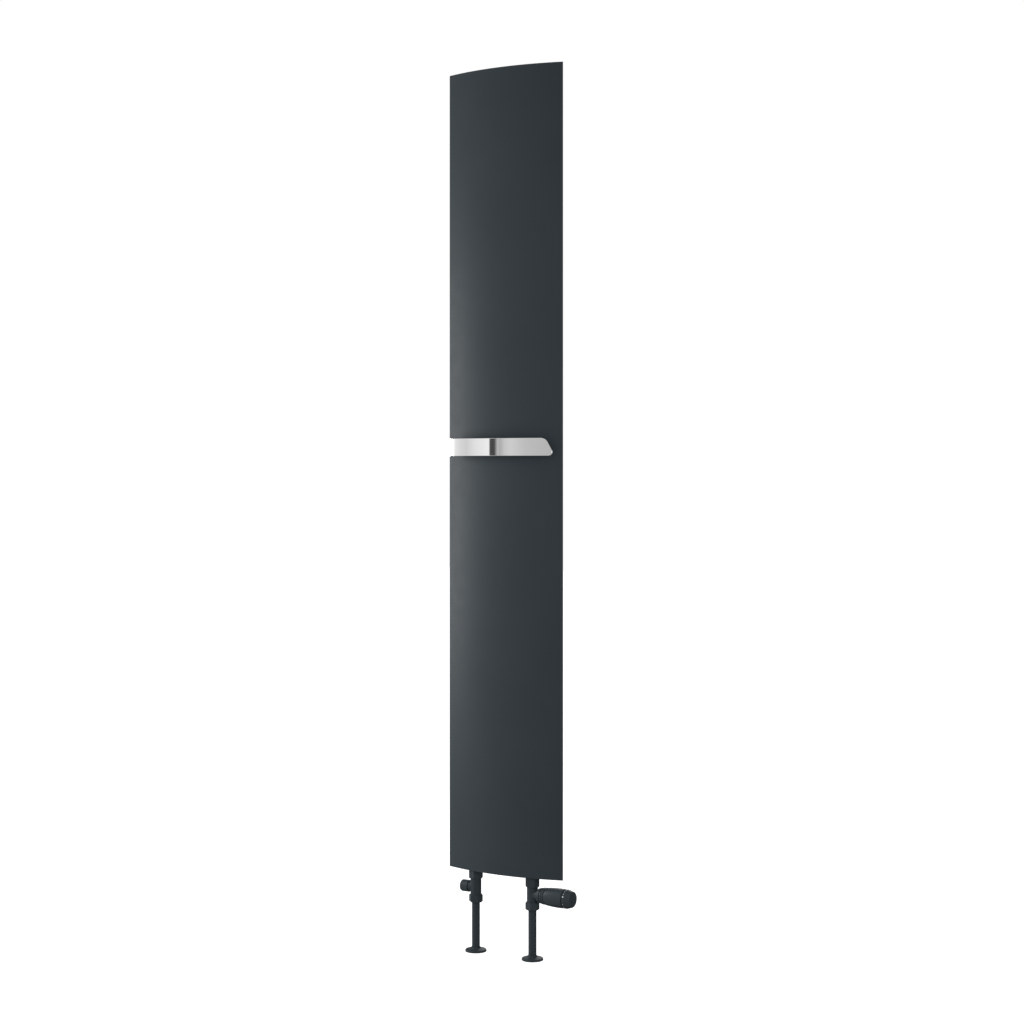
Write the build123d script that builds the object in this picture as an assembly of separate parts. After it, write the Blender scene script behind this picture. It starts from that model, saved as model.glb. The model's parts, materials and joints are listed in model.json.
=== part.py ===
from build123d import *
from math import cos, degrees, radians, sin, sqrt, tan
import os

# A tall curved-front heating radiator with a towel bar, wall brackets,
# a thermostatic valve on the right and a lockshield valve on the left.
# Row frame, millimetres: +X right along the wall, +Y into the wall, +Z up.
# Origin: centre of the four wall screws, on the wall's surface.

# ---- driving dimensions -------------------------------------------------
PANEL_WIDTH = 300.0
PANEL_HEIGHT = 1800.0
PANEL_RADIUS = 472.0
SHEET = 1.5
SHEET_EDGE_ROUND = 0.6
WALL_TO_CHORD = 55.0
FLOOR_CLEARANCE = 184.0

TUBE_RADIUS = 12.5
TUBE_WALL = 1.5
TUBE_CIRCLE = 455.0
TUBE_PITCH_DEG = 5.0
TUBE_COUNT = 6
HEADER_DEPTH = 30.0
HEADER_HEIGHT = 30.0
HEADER_WALL = 2.0
HEADER_END_DEG = 15.3
HEADER_CLEARANCE = 21.0
VENT_ROOM = 9.0
PLATE_THICKNESS = 2.0
STRIP_WIDTH = 8.0
STRIP_INNER_STEP = 8.0
STRIP_END_GAP = 12.0

BAR_HEIGHT = 39.6
BAR_CENTRE_Z = 53.4
BAR_GAP = 24.0
BAR_THICKNESS = 4.0
BAR_LEFT_REACH = 141.0
BAR_RIGHT_REACH = 147.7
BAR_END_SLANT_DEG = 27.5
BAR_ROUND_TOP = 16.6
BAR_ROUND_BOTTOM = 8.2
BAR_ROUND_LEFT = 3.0
BAR_EDGE_ROUND = 1.2
STANDOFF_DEG = 10.0
STANDOFF_RADIUS = 6.0

BRACKET_X = 60.0
BRACKET_HOLE_Z = 800.0
BRACKET_DROP = 25.0
BRACKET_HOLE_RADIUS = 3.3
RAIL_HEIGHT = 40.0
RAIL_THICKNESS = 4.0
RAIL_END_DEG = 14.0
SPIGOT_RADIUS = 8.0

CONNECTION_SPACING = 150.0
CONNECTION_OFFSET = -3.3
BRANCH_HEIGHT = 145.0
PIPE_RADIUS = 7.5
SLEEVE_RADIUS = 9.0
ROSETTE_RADIUS = 24.0
ROSETTE_HEIGHT = 10.0
ROSETTE_RIM = 4.6
FIT = 0.05

BODY_RADIUS = 12.3
NUT_FLATS = 27.8
COMPRESSION_NUT = (-34.0, -16.5)
TRV_UNION_NUT = (17.0, 42.0)
LOCK_UNION_NUT = (20.0, 42.0)
BODY_ENDS = (-29.0, 32.0)
TAIL_BORE = 7.0
TAIL_THREAD_RADIUS = 10.45
TAIL_TOP = 60.0
BOSS_RADIUS = 13.5
BOSS_BOTTOM = 45.0
CHAMBER_RADIUS = 8.55
INSERT_RADIUS = 8.5
SEAT_X = 1.0
SEAT_RADIUS = 4.3
PIN_RADIUS = 2.0

LOCK_SPIGOT_RADIUS = 10.9
LOCK_CAP_RADIUS = 13.2
LOCK_CAP_ENDS = (16.4, 36.5)

HEAD_START = 39.5
HEAD_END = 84.0
KNOB_START = 86.0
KNOB_END = 105.0
KNOB_CAVITY_END = 101.0
KNOB_RADIUS = 20.9
KNOB_GROOVE_RADIUS = 18.0
DIAL_X = 89.3
DIAL_DEPTH = 0.7
DIAL_MARK_RADIUS = 0.75
DIAL_MARK_DEGS = (-46.0, -24.0, 41.0, 61.0, 81.0, 101.0)
POINTER_RADIUS = 1.45
POINTER_DEG = 23.0

# ---- values worked out from them ---------------------------------------
HALF_WIDTH = PANEL_WIDTH / 2
HALF_HEIGHT = PANEL_HEIGHT / 2
CHORD_Y = -WALL_TO_CHORD
AXIS_Y = CHORD_Y + sqrt(PANEL_RADIUS ** 2 - HALF_WIDTH ** 2)
FLOOR_Z = -HALF_HEIGHT - FLOOR_CLEARANCE
SHEET_INNER = PANEL_RADIUS - SHEET
HEADER_INNER = TUBE_CIRCLE - HEADER_DEPTH / 2
HEADER_OUTER = TUBE_CIRCLE + HEADER_DEPTH / 2
HEADER_LOW = -HALF_HEIGHT + HEADER_CLEARANCE
HEADER_HIGH = HALF_HEIGHT - HEADER_CLEARANCE - VENT_ROOM
TUBE_LOW = HEADER_LOW + HEADER_HEIGHT - HEADER_WALL
TUBE_HIGH = HEADER_HIGH - HEADER_HEIGHT + HEADER_WALL
RAIL_OUTER = TUBE_CIRCLE - TUBE_RADIUS
RAIL_INNER = RAIL_OUTER - RAIL_THICKNESS
BAR_INNER = PANEL_RADIUS + BAR_GAP
BAR_OUTER = BAR_INNER + BAR_THICKNESS
BRANCH_Z = FLOOR_Z + BRANCH_HEIGHT
LOCK_X = CONNECTION_OFFSET - CONNECTION_SPACING / 2
TRV_X = CONNECTION_OFFSET + CONNECTION_SPACING / 2
UPPER_RAIL_Z = BRACKET_HOLE_Z - BRACKET_DROP
LOWER_RAIL_Z = -BRACKET_HOLE_Z - BRACKET_DROP
PLATE_HALF_DEG = degrees(PLATE_THICKNESS / 2 / TUBE_CIRCLE)
TUBE_DEGS = [(i - (TUBE_COUNT - 1) / 2) * TUBE_PITCH_DEG for i in range(TUBE_COUNT)]
AT_TRV = Pos(TRV_X, CHORD_Y, BRANCH_Z)
AT_LOCK = Pos(LOCK_X, CHORD_Y, BRANCH_Z) * Rot(0, 0, 180)
SIDEWAYS = Rot(0, 90, 0)


# ---- small helpers ------------------------------------------------------
def spot(radius, degs, z=0.0):
    """Place on a circle about the panel's axis, 0 degrees straight to the front."""
    turn = radians(degs)
    return Pos(radius * sin(turn), AXIS_Y - radius * cos(turn), z)


def slab(inner, outer, start, end, low, high):
    """Curved slab between two radii about the panel's axis."""
    ring = Cylinder(outer, high - low) - Cylinder(inner, high - low)
    reach = 2 * outer
    corners = [(0, 0)]
    for degs in (start, end):
        corners.append((reach * sin(radians(degs)), -reach * cos(radians(degs))))
    wedge = extrude(make_face(Polyline(*corners, close=True)), (high - low) / 2, both=True)
    return Pos(0, AXIS_Y, (low + high) / 2) * (ring & wedge)


def turned(outline):
    """Solid turned about Z from the (radius, height) corners of half its section."""
    return revolve(make_face(Plane.XZ * Polyline(*outline, close=True)), Axis.Z)


def turned_sideways(outline):
    """Solid turned about X from (radius, reach) corners."""
    return SIDEWAYS * turned(outline)


def rod(radius, low, high):
    return Pos(0, 0, (low + high) / 2) * Cylinder(radius, high - low)


def side_rod(radius, low, high):
    return SIDEWAYS * rod(radius, low, high)


def ring(outer, inner, low, high):
    return rod(outer, low, high) - rod(inner, low, high)


def side_ring(outer, inner, low, high):
    return SIDEWAYS * ring(outer, inner, low, high)


def hexagon(flats, low, high, facing, low_chamfer, high_chamfer):
    """Hexagon bar with coned ends; one flat faces `facing` degrees right of the front."""
    corner = flats / sqrt(3)
    prism = Pos(0, 0, low) * extrude(Rot(0, 0, facing) * RegularPolygon(corner, 6), high - low)
    cone = turned([
        (0, low),
        (corner - low_chamfer, low),
        (corner, low + low_chamfer * 0.8),
        (corner, high - high_chamfer * 0.8),
        (corner - high_chamfer, high),
        (0, high),
    ])
    return prism & cone


def coil(radius, wire, low, high, turns):
    """Compression spring along Z."""
    path = Pos(0, 0, low + wire) * Helix((high - low - 2 * wire) / turns, high - low - 2 * wire, radius)
    section = Plane(path @ 0, z_dir=path % 0) * Circle(wire)
    return sweep(section, path=path)


# ---- radiator -----------------------------------------------------------
def front_panel():
    end = 2 * PANEL_RADIUS
    sheet = Cylinder(PANEL_RADIUS, PANEL_HEIGHT) - Cylinder(SHEET_INNER, PANEL_HEIGHT)
    window = Pos(0, -end / 2, 0) * Box(PANEL_WIDTH, end, PANEL_HEIGHT)
    sheet = Pos(0, AXIS_Y, 0) * (sheet & window)
    upright = sheet.edges().filter_by(Axis.Z).sort_by(Axis.Y)[:2]
    sheet = fillet(upright, SHEET_EDGE_ROUND)
    for side in (-1, 1):
        hole = Rot(0, 0, side * STANDOFF_DEG) * Pos(0, -PANEL_RADIUS, 0) * Rot(90, 0, 0) * Cylinder(2.75, 20)
        sheet -= Pos(0, AXIS_Y, BAR_CENTRE_Z) * hole
    return sheet


def water_tube(degs):
    return spot(TUBE_CIRCLE, degs) * ring(TUBE_RADIUS, TUBE_RADIUS - TUBE_WALL, TUBE_LOW, TUBE_HIGH)


def header(low, tube_wall_low):
    """Curved box tube, open at both ends, with a hole for each water tube."""
    high = low + HEADER_HEIGHT
    box = slab(HEADER_INNER, HEADER_OUTER, -HEADER_END_DEG, HEADER_END_DEG, low, high)
    box -= slab(HEADER_INNER + HEADER_WALL, HEADER_OUTER - HEADER_WALL, -20, 20,
                low + HEADER_WALL, high - HEADER_WALL)
    for degs in TUBE_DEGS:
        box -= spot(TUBE_CIRCLE, degs) * rod(TUBE_RADIUS, tube_wall_low, tube_wall_low + HEADER_WALL)
    return box


def top_header():
    box = header(HEADER_HIGH - HEADER_HEIGHT, HEADER_HIGH - HEADER_HEIGHT)
    return box - vent_place() * rod(8.0, -HEADER_WALL, 0)


def bottom_header():
    box = header(HEADER_LOW, TUBE_LOW)
    for x in (LOCK_X, TRV_X):
        box -= Pos(x, CHORD_Y, 0) * rod(BOSS_RADIUS, HEADER_LOW, HEADER_LOW + HEADER_WALL)
    return box


def header_plate(degs, low):
    """Plate that closes the inside of a header."""
    return slab(HEADER_INNER + HEADER_WALL, HEADER_OUTER - HEADER_WALL,
                degs - PLATE_HALF_DEG, degs + PLATE_HALF_DEG,
                low + HEADER_WALL, low + HEADER_HEIGHT - HEADER_WALL)


def header_end_caps():
    end = HEADER_END_DEG - PLATE_HALF_DEG
    lows = (HEADER_LOW, HEADER_HIGH - HEADER_HEIGHT)
    return [header_plate(side * end, low) for side in (-1, 1) for low in lows]


def flow_divider():
    return header_plate(0.0, HEADER_LOW)


def weld_strips():
    """Steel strips that carry heat from each tube into the front sheet."""
    half = degrees(STRIP_WIDTH / 2 / SHEET_INNER)
    low = TUBE_LOW + STRIP_END_GAP
    high = TUBE_HIGH - STRIP_END_GAP
    strips = []
    for degs in TUBE_DEGS:
        strip = slab(TUBE_CIRCLE + STRIP_INNER_STEP, SHEET_INNER, degs - half, degs + half, low, high)
        strips.append(strip - spot(TUBE_CIRCLE, degs) * rod(TUBE_RADIUS, low, high))
    return strips


def connection_bosses():
    boss = ring(BOSS_RADIUS, TAIL_THREAD_RADIUS + FIT, BRANCH_Z + BOSS_BOTTOM, HEADER_LOW + HEADER_WALL)
    return [Pos(x, CHORD_Y, 0) * boss for x in (LOCK_X, TRV_X)]


# ---- air vent -----------------------------------------------------------
def vent_place():
    return spot(TUBE_CIRCLE, -10.0, HEADER_HIGH)


def vent_boss():
    return vent_place() * ring(8.0, 4.9, -HEADER_WALL, 5)


def vent_seal():
    return vent_place() * ring(7.0, 4.9, 5, 6.5)


def vent_plug():
    head = hexagon(13, 6.5, 14, 0, 0.6, 1.2)
    plug = head + rod(4.85, -4, 6.5)
    plug -= rod(1.2, -4, 6)
    plug -= rod(2.5, 4, 14)
    outlet = Pos(0, 0, 11) * Rot(90, 0, 0) * rod(0.9, 2, 9)
    return vent_place() * (plug - outlet)


def bleed_screw():
    stem = turned([(0, 4.4), (0.9, 4.4), (2.44, 6.2), (2.44, 14.2), (0, 14.2)])
    square = Pos(0, 0, 16) * Box(5, 5, 3.6)
    return vent_place() * (stem + square)


# ---- wall brackets ------------------------------------------------------
def bracket_rails():
    rails = []
    for z in (UPPER_RAIL_Z, LOWER_RAIL_Z):
        low = z - RAIL_HEIGHT / 2
        rails.append(slab(RAIL_INNER, RAIL_OUTER, -RAIL_END_DEG, RAIL_END_DEG, low, low + RAIL_HEIGHT))
    return rails


def bracket_spots():
    return [(x, z) for z in (UPPER_RAIL_Z, LOWER_RAIL_Z) for x in (-BRACKET_X, BRACKET_X)]


def bracket_spigots():
    """Round stubs welded to the back of the rails, pushed into the wall brackets."""
    behind_rail = Pos(0, AXIS_Y, 0) * Cylinder(RAIL_INNER - FIT, 3 * HALF_HEIGHT)
    stub = Rot(90, 0, 0) * rod(SPIGOT_RADIUS, 8, WALL_TO_CHORD)
    return [(Pos(x, 0, z) * stub) & behind_rail for x, z in bracket_spots()]


def wall_bracket(x, z):
    """Wall plate with one screw hole, and a socket for the radiator's spigot."""
    plate = Pos(0, -1.5, BRACKET_DROP / 2) * Box(30, 3, 64)
    plate = fillet(plate.edges().filter_by(Axis.Y), 8)
    socket = Rot(90, 0, 0) * rod(SPIGOT_RADIUS + 3, 3, 32)
    bracket = plate + socket
    bracket -= Rot(90, 0, 0) * rod(SPIGOT_RADIUS + FIT, 3, 32)
    bracket -= Pos(0, 0, BRACKET_DROP) * Rot(90, 0, 0) * rod(BRACKET_HOLE_RADIUS, 0, 3)
    bracket -= Pos(0, -22, 0) * rod(2.5, -12, 0)
    return Pos(x, 0, z) * bracket


def bracket_lock_screws():
    """Set screws that lock each spigot from below."""
    screw = rod(2.45, -14.5, -SPIGOT_RADIUS) - extrude(Pos(0, 0, -14.5) * RegularPolygon(1.5, 6), 2.5)
    return [Pos(x, -22, z) * screw for x, z in bracket_spots()]


# ---- towel bar ----------------------------------------------------------
def bar_outline():
    """Square left end; right end cut on a slant with a broad round above and a tip below."""
    low = BAR_CENTRE_Z - BAR_HEIGHT / 2
    high = BAR_CENTRE_Z + BAR_HEIGHT / 2
    top_reach = BAR_RIGHT_REACH - BAR_HEIGHT * tan(radians(BAR_END_SLANT_DEG))
    corners = [(-BAR_LEFT_REACH, low), (BAR_RIGHT_REACH, low), (top_reach, high), (-BAR_LEFT_REACH, high)]
    outline = make_face(Polyline(*corners, close=True))
    outline = fillet(outline.vertices().sort_by(Axis.X)[-1:], BAR_ROUND_BOTTOM)
    outline = fillet(outline.vertices().sort_by(Axis.X)[:2], BAR_ROUND_LEFT)
    top_right = outline.vertices().sort_by_distance((top_reach, high, 0))[:1]
    return fillet(top_right, BAR_ROUND_TOP)


def towel_bar():
    """Polished flat bar bent to the panel's curve, with two studs behind it."""
    low = BAR_CENTRE_Z - BAR_HEIGHT / 2
    window = extrude(Plane.XZ * bar_outline(), 2 * WALL_TO_CHORD + 40)
    bar = slab(BAR_INNER, BAR_OUTER, -20, 20, low, low + BAR_HEIGHT) & window
    bar = fillet(bar.edges().filter_by(lambda edge: edge.length > BAR_THICKNESS + 0.2), BAR_EDGE_ROUND)
    for side in (-1, 1):
        stud = Pos(0, -BAR_INNER, 0) * Rot(90, 0, 0) * rod(2.45, -9, 0.5)
        bar += Pos(0, AXIS_Y, BAR_CENTRE_Z) * Rot(0, 0, side * STANDOFF_DEG) * stud
    return bar


def along_standoff(piece):
    """Both copies of a piece drawn about Z with the panel's outer face at zero."""
    out = Pos(0, -PANEL_RADIUS, 0) * Rot(90, 0, 0) * piece
    return [Pos(0, AXIS_Y, BAR_CENTRE_Z) * Rot(0, 0, side * STANDOFF_DEG) * out for side in (-1, 1)]


def standoffs():
    post = ring(STANDOFF_RADIUS, 2.5, 0.05, BAR_GAP - 0.05)
    return along_standoff(post)


def standoff_washers():
    return along_standoff(ring(5.0, 2.75, -SHEET - 1.0, -SHEET - 0.05))


def standoff_screws():
    screw = rod(2.45, -SHEET - 1.0, 11) + rod(4.4, -SHEET - 4.0, -SHEET - 1.0)
    screw -= extrude(Pos(0, 0, -SHEET - 4.0) * RegularPolygon(1.7, 6), 1.6)
    return along_standoff(screw)


# ---- pieces that both valves have ---------------------------------------
def valve_shell(branch):
    """Straight valve body: pipe socket below, union thread above, side branch along +X."""
    low, high = BODY_ENDS
    shell = rod(BODY_RADIUS, low, high) + branch
    shell -= rod(PIPE_RADIUS + FIT, low, -14)
    shell -= turned([(0, low), (9.0, low), (PIPE_RADIUS, low + 2.1), (0, low + 2.1)])
    shell -= Pos(-5, 0, 0) * rod(4.8, -15, 2)
    shell -= Pos(3, 0, 0) * rod(5.6, 6, high)
    shell -= side_rod(SEAT_RADIUS, -6, SEAT_X)
    shell -= side_rod(CHAMBER_RADIUS, SEAT_X, 60)
    return shell


def compression_nut(facing):
    low, high = COMPRESSION_NUT
    nut = hexagon(NUT_FLATS, low, high, facing, 3.4, 2.2)
    nut -= rod(PIPE_RADIUS + FIT, low, high)
    return nut - rod(BODY_RADIUS + FIT, low + 2, high)


def union_nut(ends, facing):
    low, high = ends
    nut = hexagon(NUT_FLATS, low, high, facing, 2.2, 2.2)
    nut -= rod(TAIL_THREAD_RADIUS + 0.1, low, high)
    return nut - rod(BODY_RADIUS + FIT, low, 35.1)


def union_tail():
    low = BODY_ENDS[1] + 0.05
    tail = rod(BODY_RADIUS - 0.2, low, 35) + rod(10.1, 35, BOSS_BOTTOM)
    tail += rod(TAIL_THREAD_RADIUS, BOSS_BOTTOM, TAIL_TOP)
    return tail - rod(TAIL_BORE, low, TAIL_TOP)


def olive():
    low = BODY_ENDS[0]
    bore = PIPE_RADIUS + FIT
    return turned([
        (bore, low - 2.9),
        (bore + 1.2, low - 2.9),
        (9.6, low - 1.6),
        (9.6, low - 0.1),
        (8.85, low - 0.05),
        (bore + 0.05, low + 1.8),
        (bore, low + 1.8),
    ])


def olives():
    return [AT_LOCK * olive(), AT_TRV * olive()]


def spindle_seal(inner, outer, reach):
    return SIDEWAYS * Pos(0, 0, reach) * Torus((inner + outer) / 2, (outer - inner) / 2)


def pipe_sleeve(x):
    return Pos(x, CHORD_Y, FLOOR_Z) * ring(SLEEVE_RADIUS, PIPE_RADIUS + FIT, 1, BRANCH_HEIGHT - 34.05)


def rosette(x):
    """Floor collar: thin rim, a low dome and a short neck round the pipe sleeve."""
    bore = SLEEVE_RADIUS + 0.06
    outer = ROSETTE_RADIUS
    rim = ROSETTE_RIM
    top = ROSETTE_HEIGHT
    foot = (bore + 4.1, 7.0)
    dome = ThreePointArc((outer - 1.0, rim), (18.0, 6.0), foot)
    neck = ThreePointArc(foot, (bore + 2.1, 7.8), (bore + 1.2, top))
    under = ThreePointArc((bore + 2.6, 2.9), (16.0, 2.4), (outer - 1.6, 1.4))
    edges = [
        Line((bore, 0.6), (bore, top)),
        Line((bore, top), (bore + 1.2, top)),
        neck,
        dome,
        Line((outer - 1.0, rim), (outer, rim - 1.0)),
        Line((outer, rim - 1.0), (outer, 0)),
        Line((outer, 0), (outer - 1.6, 0)),
        Line((outer - 1.6, 0), (outer - 1.6, 1.4)),
        under,
        Line((bore + 2.6, 2.9), (bore + 2.6, 0.6)),
        Line((bore + 2.6, 0.6), (bore, 0.6)),
    ]
    section = make_face(Plane.XZ * Curve(edges))
    return Pos(x, CHORD_Y, FLOOR_Z) * revolve(section, Axis.Z)


# ---- thermostatic valve -------------------------------------------------
def trv_body():
    branch = turned_sideways([(0, 0), (11.3, 0), (11.6, 12), (12.6, 15), (15.4, 17.6), (16.6, 21.5),
                              (17.4, 24.8), (17.0, 25.4), (14.9, 25.4), (14.9, 36), (0, 36)])
    return AT_TRV * valve_shell(branch)


def trv_insert():
    """Brass headwork screwed into the branch; guides the pin and holds the spring."""
    insert = turned_sideways([(0, 10), (INSERT_RADIUS, 10), (INSERT_RADIUS, 36), (0, 36)])
    insert -= side_rod(PIN_RADIUS + FIT, 10, 36)
    insert -= side_rod(6.3, 22, 36)
    insert -= side_rod(3.95, 13, 15.6)
    return AT_TRV * insert


def trv_seal():
    return AT_TRV * spindle_seal(PIN_RADIUS + 0.06, 3.9, 14.3)


def trv_pin():
    rest = SEAT_X + 1.55
    pin = side_rod(PIN_RADIUS, rest + 3, 43.5) + side_rod(5.8, 32.5, 34)
    return AT_TRV * pin


def trv_disc():
    rest = SEAT_X + 1.55
    return AT_TRV * side_rod(6.2, rest, rest + 3)


def trv_spring():
    return AT_TRV * SIDEWAYS * coil(4.3, 0.45, 22.05, 32.45, 4)


def trv_union_ring():
    """Ring nut that holds the head on the valve, with two grooves."""
    ring_nut = turned_sideways([
        (15.5, 26.4), (16.4, 26.4), (17.6, 27.6), (18.2, 29.4), (18.3, 31.0), (17.3, 31.4),
        (17.3, 32.0), (18.5, 32.6), (18.7, 34.0), (18.7, 36.0), (17.6, 36.7), (17.6, 37.4),
        (18.6, 38.0), (18.8, 39.2), (12.6, 39.2), (12.6, 37.6), (14.95, 37.6), (14.95, 26.4),
    ])
    return AT_TRV * ring_nut


def trv_housing():
    """Fixed barrel of the head: a neck held by the ring nut, then a swelling shell."""
    swell = ThreePointArc((19.3, HEAD_START + 0.8), (21.1, 62.0), (21.1, HEAD_END - 4))
    edges = [
        Line((6.5, 36.2), (14.6, 36.2)),
        Line((14.6, 36.2), (14.6, 37.4)),
        Line((14.6, 37.4), (12.5, 37.4)),
        Line((12.5, 37.4), (12.5, HEAD_START)),
        Line((12.5, HEAD_START), (18.5, HEAD_START)),
        Line((18.5, HEAD_START), (19.3, HEAD_START + 0.8)),
        swell,
        Line((21.1, HEAD_END - 4), (20.9, HEAD_END - 0.6)),
        Line((20.9, HEAD_END - 0.6), (20.3, HEAD_END)),
        Line((20.3, HEAD_END), (16.5, HEAD_END)),
        Line((16.5, HEAD_END), (16.5, 45.0)),
        Line((16.5, 45.0), (6.5, 45.0)),
        Line((6.5, 45.0), (6.5, 36.2)),
    ]
    section = make_face(Plane.XZ * Curve(edges))
    return AT_TRV * SIDEWAYS * revolve(section, Axis.Z)


def trv_sensor():
    """Expanding capsule with its push rod."""
    capsule = side_rod(3.0, 43.55, 49) + side_rod(9.5, 49, 69)
    return AT_TRV * capsule


def trv_adjuster():
    """Threaded carrier that the knob moves in and out."""
    carrier = side_rod(13, 59, 73) - side_rod(9.55, 59, 69.05)
    return AT_TRV * (carrier + side_rod(8.0, 73, 86))


def dial_plug(degs, radius, proud):
    """Round plug let into the knob's side, `degs` up from the front."""
    turn = Rot(-degs, 0, 0) * Pos(DIAL_X, 0, 0) * Rot(90, 0, 0)
    return turn * rod(radius, KNOB_RADIUS - DIAL_DEPTH, KNOB_RADIUS + proud)


def dial_plugs(proud):
    plugs = [dial_plug(degs, DIAL_MARK_RADIUS, proud) for degs in DIAL_MARK_DEGS]
    return plugs + [dial_plug(POINTER_DEG, POINTER_RADIUS, proud)]


def trv_knob():
    """Turning end of the head: shell, snap skirt and threaded hub."""
    shoulder = ThreePointArc((17.9, KNOB_END - 3.4), (17.0, KNOB_END - 1.0), (14.4, KNOB_END))
    edges = [
        Line((8.06, 75), (11, 75)),
        Line((11, 75), (11, KNOB_CAVITY_END)),
        Line((11, KNOB_CAVITY_END), (14.2, KNOB_CAVITY_END)),
        Line((14.2, KNOB_CAVITY_END), (14.2, 78)),
        Line((14.2, 78), (16.4, 78)),
        Line((16.4, 78), (16.4, HEAD_END + 0.3)),
        Line((16.4, HEAD_END + 0.3), (KNOB_GROOVE_RADIUS, HEAD_END + 0.3)),
        Line((KNOB_GROOVE_RADIUS, HEAD_END + 0.3), (KNOB_GROOVE_RADIUS, KNOB_START)),
        Line((KNOB_GROOVE_RADIUS, KNOB_START), (KNOB_RADIUS - 0.4, KNOB_START)),
        Line((KNOB_RADIUS - 0.4, KNOB_START), (KNOB_RADIUS, KNOB_START + 0.5)),
        Line((KNOB_RADIUS, KNOB_START + 0.5), (KNOB_RADIUS, DIAL_X + 2.2)),
        Line((KNOB_RADIUS, DIAL_X + 2.2), (17.9, KNOB_END - 3.4)),
        shoulder,
        Line((14.4, KNOB_END), (0, KNOB_END)),
        Line((0, KNOB_END), (0, KNOB_CAVITY_END)),
        Line((0, KNOB_CAVITY_END), (8.06, KNOB_CAVITY_END)),
        Line((8.06, KNOB_CAVITY_END), (8.06, 75)),
    ]
    knob = SIDEWAYS * revolve(make_face(Plane.XZ * Curve(edges)), Axis.Z)
    for plug in dial_plugs(1.0):
        knob -= plug
    return AT_TRV * knob


def trv_dial_marks():
    return [AT_TRV * plug for plug in dial_plugs(0.1)]


# ---- lockshield valve ---------------------------------------------------
def lock_body():
    branch = turned_sideways([(0, 0), (11.7, 0), (12.0, 10), (12.0, 15.0), (11.4, 15.6),
                              (LOCK_SPIGOT_RADIUS, 15.6), (LOCK_SPIGOT_RADIUS, 28.4), (0, 28.4)])
    return AT_LOCK * valve_shell(branch)


def lock_insert():
    insert = side_rod(INSERT_RADIUS, 12, 29.5) - side_rod(3.55, 12, 29.5)
    insert -= side_rod(6.5, 12, 16.2)
    return AT_LOCK * (insert - side_rod(5.25, 20, 22.2))


def lock_seal():
    return AT_LOCK * spindle_seal(3.52, 5.2, 21.1)


def lock_disc():
    rest = SEAT_X + 1.55
    return AT_LOCK * (side_rod(6.2, rest, rest + 8) - side_rod(3.06, rest + 2.5, rest + 8))


def lock_spindle():
    spindle = side_rod(3.0, 7.0, 14) + side_rod(5.0, 14, 16.1) + side_rod(3.5, 16.1, 28)
    square = Pos(31, 0, 0) * Box(6, 5, 5)
    return AT_LOCK * (spindle + square)


def lock_cap():
    """Push-on plastic cap with a rounded end."""
    start, end = LOCK_CAP_ENDS
    outer = LOCK_CAP_RADIUS
    bore = LOCK_SPIGOT_RADIUS + 0.06
    inner_end = end - 1.8
    round_end = ThreePointArc((outer, end - 2.6), (outer - 0.7, end - 0.8), (outer - 2.6, end))
    edges = [
        Line((bore, start), (outer - 0.4, start)),
        Line((outer - 0.4, start), (outer, start + 0.6)),
        Line((outer, start + 0.6), (outer, end - 2.6)),
        round_end,
        Line((outer - 2.6, end), (0, end)),
        Line((0, end), (0, inner_end)),
        Line((0, inner_end), (bore, inner_end)),
        Line((bore, inner_end), (bore, start)),
    ]
    return AT_LOCK * SIDEWAYS * revolve(make_face(Plane.XZ * Curve(edges)), Axis.Z)


# ---- every node ---------------------------------------------------------
def all_nodes():
    nodes = {
        "front_panel": front_panel(),
        "top_header": top_header(),
        "bottom_header": bottom_header(),
        "header_end_caps": header_end_caps(),
        "flow_divider": flow_divider(),
        "weld_strips": weld_strips(),
        "connection_bosses": connection_bosses(),
        "vent_boss": vent_boss(),
        "vent_seal": vent_seal(),
        "vent_plug": vent_plug(),
        "bleed_screw": bleed_screw(),
        "bracket_rails": bracket_rails(),
        "bracket_spigots": bracket_spigots(),
        "bracket_lock_screws": bracket_lock_screws(),
        "towel_bar": towel_bar(),
        "standoffs": standoffs(),
        "standoff_washers": standoff_washers(),
        "standoff_screws": standoff_screws(),
        "olives": olives(),
        "trv_body": trv_body(),
        "trv_compression_nut": AT_TRV * compression_nut(44),
        "trv_union_nut": AT_TRV * union_nut(TRV_UNION_NUT, 17),
        "trv_union_tail": AT_TRV * union_tail(),
        "trv_insert": trv_insert(),
        "trv_seal": trv_seal(),
        "trv_pin": trv_pin(),
        "trv_disc": trv_disc(),
        "trv_spring": trv_spring(),
        "trv_union_ring": trv_union_ring(),
        "trv_housing": trv_housing(),
        "trv_sensor": trv_sensor(),
        "trv_adjuster": trv_adjuster(),
        "trv_knob": trv_knob(),
        "trv_dial_marks": trv_dial_marks(),
        "trv_sleeve": pipe_sleeve(TRV_X),
        "trv_rosette": rosette(TRV_X),
        "lock_body": lock_body(),
        "lock_compression_nut": AT_LOCK * compression_nut(19),
        "lock_union_nut": AT_LOCK * union_nut(LOCK_UNION_NUT, 44),
        "lock_union_tail": AT_LOCK * union_tail(),
        "lock_insert": lock_insert(),
        "lock_seal": lock_seal(),
        "lock_disc": lock_disc(),
        "lock_spindle": lock_spindle(),
        "lock_cap": lock_cap(),
        "lock_sleeve": pipe_sleeve(LOCK_X),
        "lock_rosette": rosette(LOCK_X),
    }
    for number, degs in enumerate(TUBE_DEGS, 1):
        nodes[f"water_tube_{number}"] = water_tube(degs)
    places = ("upper_left", "upper_right", "lower_left", "lower_right")
    for name, (x, z) in zip(places, bracket_spots()):
        nodes[f"wall_bracket_{name}"] = wall_bracket(x, z)
    return nodes


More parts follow.
